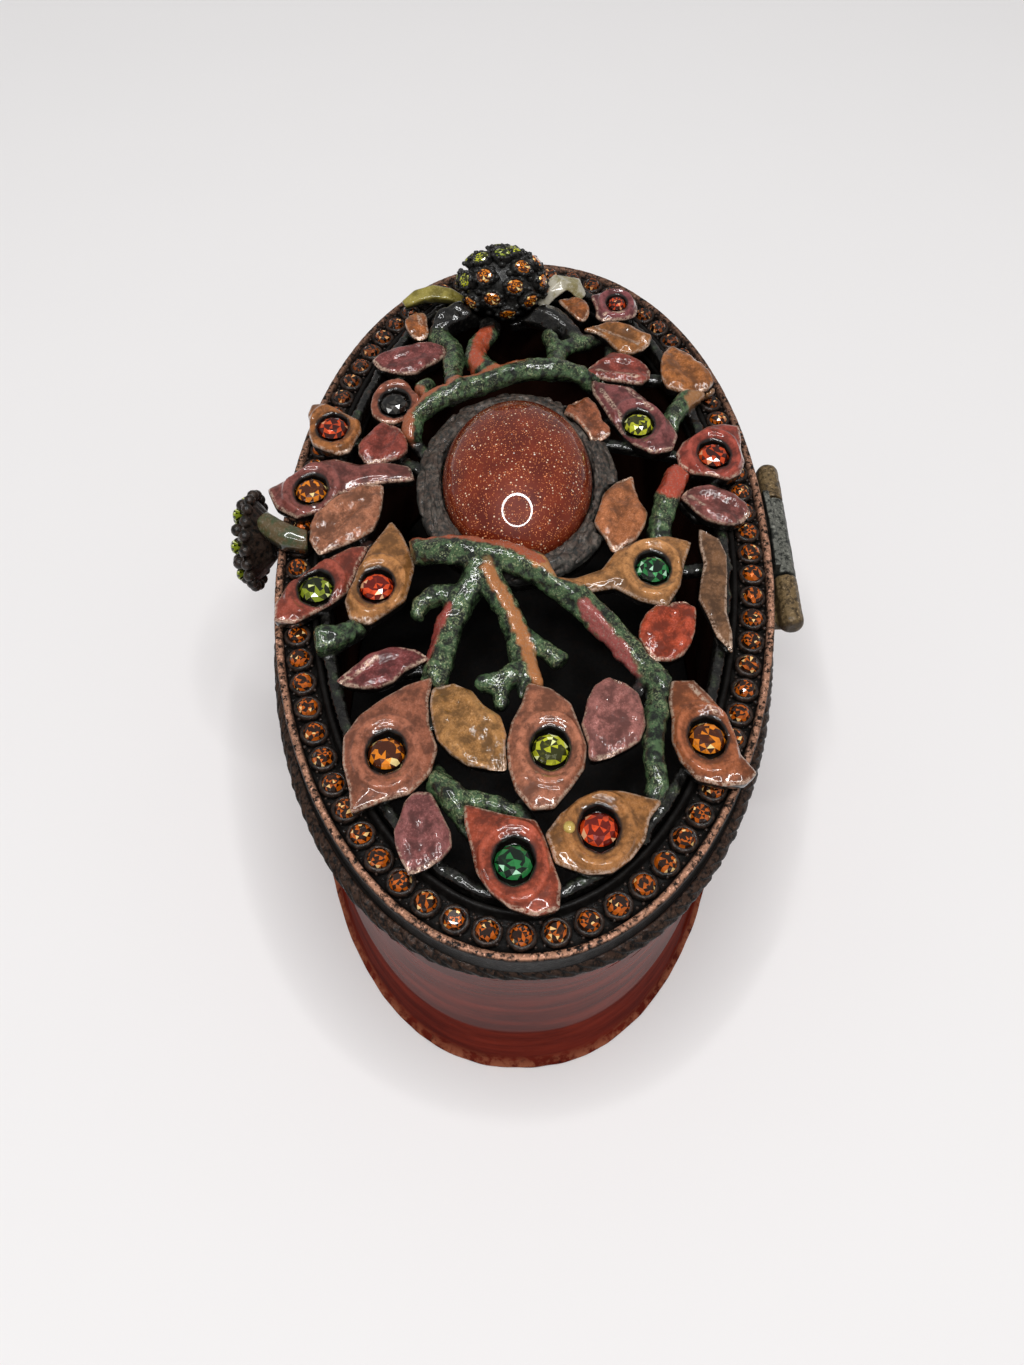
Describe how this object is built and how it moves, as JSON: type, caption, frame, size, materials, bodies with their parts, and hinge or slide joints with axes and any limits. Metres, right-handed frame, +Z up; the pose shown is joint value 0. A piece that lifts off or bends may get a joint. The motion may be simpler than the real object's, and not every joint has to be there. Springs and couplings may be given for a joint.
{
  "type": "trinket box",
  "caption": "Oval trinket box with an enamelled flared body and a hinged openwork lid of branches, jewelled leaves and a goldstone cabochon.",
  "frame": {"origin": "centre of the flush bottom plate, on the plane that the box stands on", "axes": "+X along the oval's long axis, away from the berry, +Y towards the hinge, +Z up"},
  "size_m": [0.1072, 0.0672, 0.0497],
  "materials": {
    "dark_metal": "dark satin plate",
    "brass": "worn antique brass",
    "body_enamel": "glossy red-brown enamel",
    "branch_enamel": "dark green and brown enamel over metal",
    "nest_metal": "dark satin metal",
    "crystal_ruby": "cut crystal glass",
    "crystal_smoke": "cut crystal glass",
    "crystal_amber": "cut crystal glass",
    "crystal_lime": "cut crystal glass",
    "crystal_flame": "cut crystal glass",
    "crystal_emerald": "cut crystal glass",
    "crystal_olive": "cut crystal glass",
    "goldstone": "polished opaque goldstone",
    "enamel_tan": "pearly enamel",
    "enamel_rust": "pearly enamel",
    "enamel_brown": "pearly enamel",
    "enamel_copper": "pearly enamel",
    "enamel_gold": "pearly enamel",
    "enamel_mauve": "pearly enamel",
    "enamel_orange": "pearly enamel",
    "enamel_pink": "pearly enamel",
    "enamel_red": "pearly enamel",
    "enamel_wine": "pearly enamel",
    "rim_metal": "antique copper and dark metal with amber glass crystals",
    "sepal_enamel": "yellow-green enamel",
    "stem_enamel": "green and tan enamel"
  },
  "bodies": {
    "box": {"box_body": "body_enamel", "bottom_plate": "dark_metal", "rope_band": "dark_metal", "body_hinge": "brass", "hinge_pin": "brass"},
    "lid": {"berry": "dark_metal", "branch_frame": "branch_enamel", "cabochon_nest": "nest_metal", "crystal_amber_left": "crystal_ruby", "crystal_brown_far_left": "crystal_smoke", "crystal_brown_near_left": "crystal_amber", "crystal_copper_near": "crystal_lime", "crystal_copper_right": "crystal_amber", "crystal_gold_left": "crystal_flame", "crystal_gold_near_right": "crystal_flame", "crystal_gold_right": "crystal_emerald", "crystal_mauve_far_right": "crystal_ruby", "crystal_mauve_right": "crystal_lime", "crystal_red_hinge": "crystal_ruby", "crystal_red_left": "crystal_olive", "crystal_red_near": "crystal_emerald", "crystal_wine_thumb": "crystal_amber", "goldstone_cabochon": "goldstone", "leaf_amber_left": "enamel_tan", "leaf_brown_far_left": "enamel_rust", "leaf_brown_near_left": "enamel_brown", "leaf_copper_near": "enamel_copper", "leaf_copper_right": "enamel_copper", "leaf_gold_left": "enamel_tan", "leaf_gold_near": "enamel_gold", "leaf_gold_near_right": "enamel_gold", "leaf_gold_right": "enamel_tan", "leaf_mauve_far_left": "enamel_mauve", "leaf_mauve_far_right": "enamel_mauve", "leaf_mauve_right": "enamel_mauve", "leaf_orange_cabochon": "enamel_orange", "leaf_orange_far": "enamel_orange", "leaf_orange_far_left": "enamel_orange", "leaf_orange_right_far": "enamel_orange", "leaf_pink_near": "enamel_pink", "leaf_pink_near_left": "enamel_pink", "leaf_red_far_right": "enamel_red", "leaf_red_hinge": "enamel_red", "leaf_red_left": "enamel_red", "leaf_red_left_small": "enamel_red", "leaf_red_near": "enamel_red", "leaf_red_right_small": "enamel_red", "leaf_tan_cabochon": "enamel_tan", "leaf_tan_far_right": "enamel_tan", "leaf_tan_thumb": "enamel_tan", "leaf_twist_right": "enamel_rust", "leaf_wine_hinge": "enamel_wine", "leaf_wine_left_small": "enamel_wine", "leaf_wine_thumb": "enamel_wine", "lid_hinge": "dark_metal", "lid_rim": "rim_metal", "sepal_left": "sepal_enamel", "sepal_right": "sepal_enamel", "thumb_rosette": "dark_metal", "thumb_stem": "stem_enamel"}
  },
  "joints": [
    {"name": "lid_swing", "type": "hinge", "parent": "box", "child": "lid", "pos_m": [-0.001, 0.0313, 0.037], "axis": [-1, 0, 0], "range_deg": [0, 100]}
  ]
}
